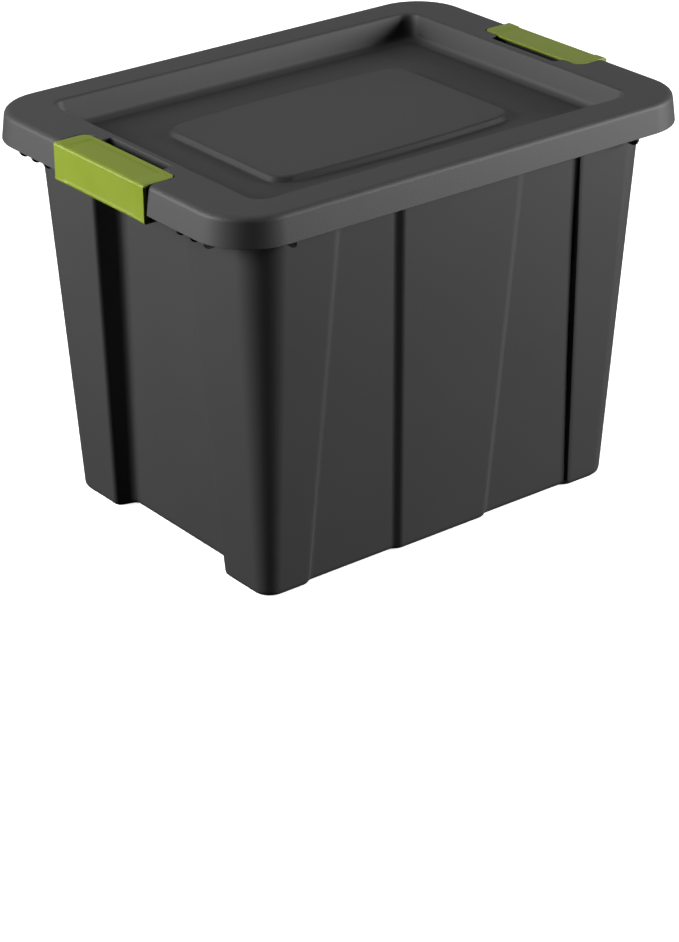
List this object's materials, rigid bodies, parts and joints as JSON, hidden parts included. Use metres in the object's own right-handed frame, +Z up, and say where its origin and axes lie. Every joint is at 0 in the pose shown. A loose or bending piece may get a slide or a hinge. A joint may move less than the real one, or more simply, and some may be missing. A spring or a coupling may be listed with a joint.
{
  "type": "latching storage tote",
  "caption": "Tapered plastic storage tote with a lift-off stacking lid and a snap-over latch at each short end.",
  "frame": {"origin": "centre of the footprint, on the surface the tote stands on", "axes": "+X along the length towards latch_right, +Y across the width, +Z up"},
  "size_m": [0.622, 0.4612, 0.453],
  "materials": {
    "moulded_grey": "satin moulded charcoal grey",
    "latch_green": "satin moulded olive green"
  },
  "bodies": {
    "tub": {"tub": "moulded_grey"},
    "lid": {"lid": "moulded_grey"},
    "latch_left": {"latch_left": "latch_green"},
    "latch_right": {"latch_right": "latch_green"}
  },
  "joints": [
    {"name": "lid_lift", "type": "slide", "parent": "tub", "child": "lid", "axis": [0, 0, 1], "range_m": [0, 0.3]},
    {"name": "latch_left_hinge", "type": "hinge", "parent": "tub", "child": "latch_left", "pos_m": [-0.3035, 0, 0.419], "axis": [0, -1, 0], "range_deg": [0, 140]},
    {"name": "latch_right_hinge", "type": "hinge", "parent": "tub", "child": "latch_right", "pos_m": [0.3035, 0, 0.419], "axis": [0, 1, 0], "range_deg": [0, 140]}
  ]
}
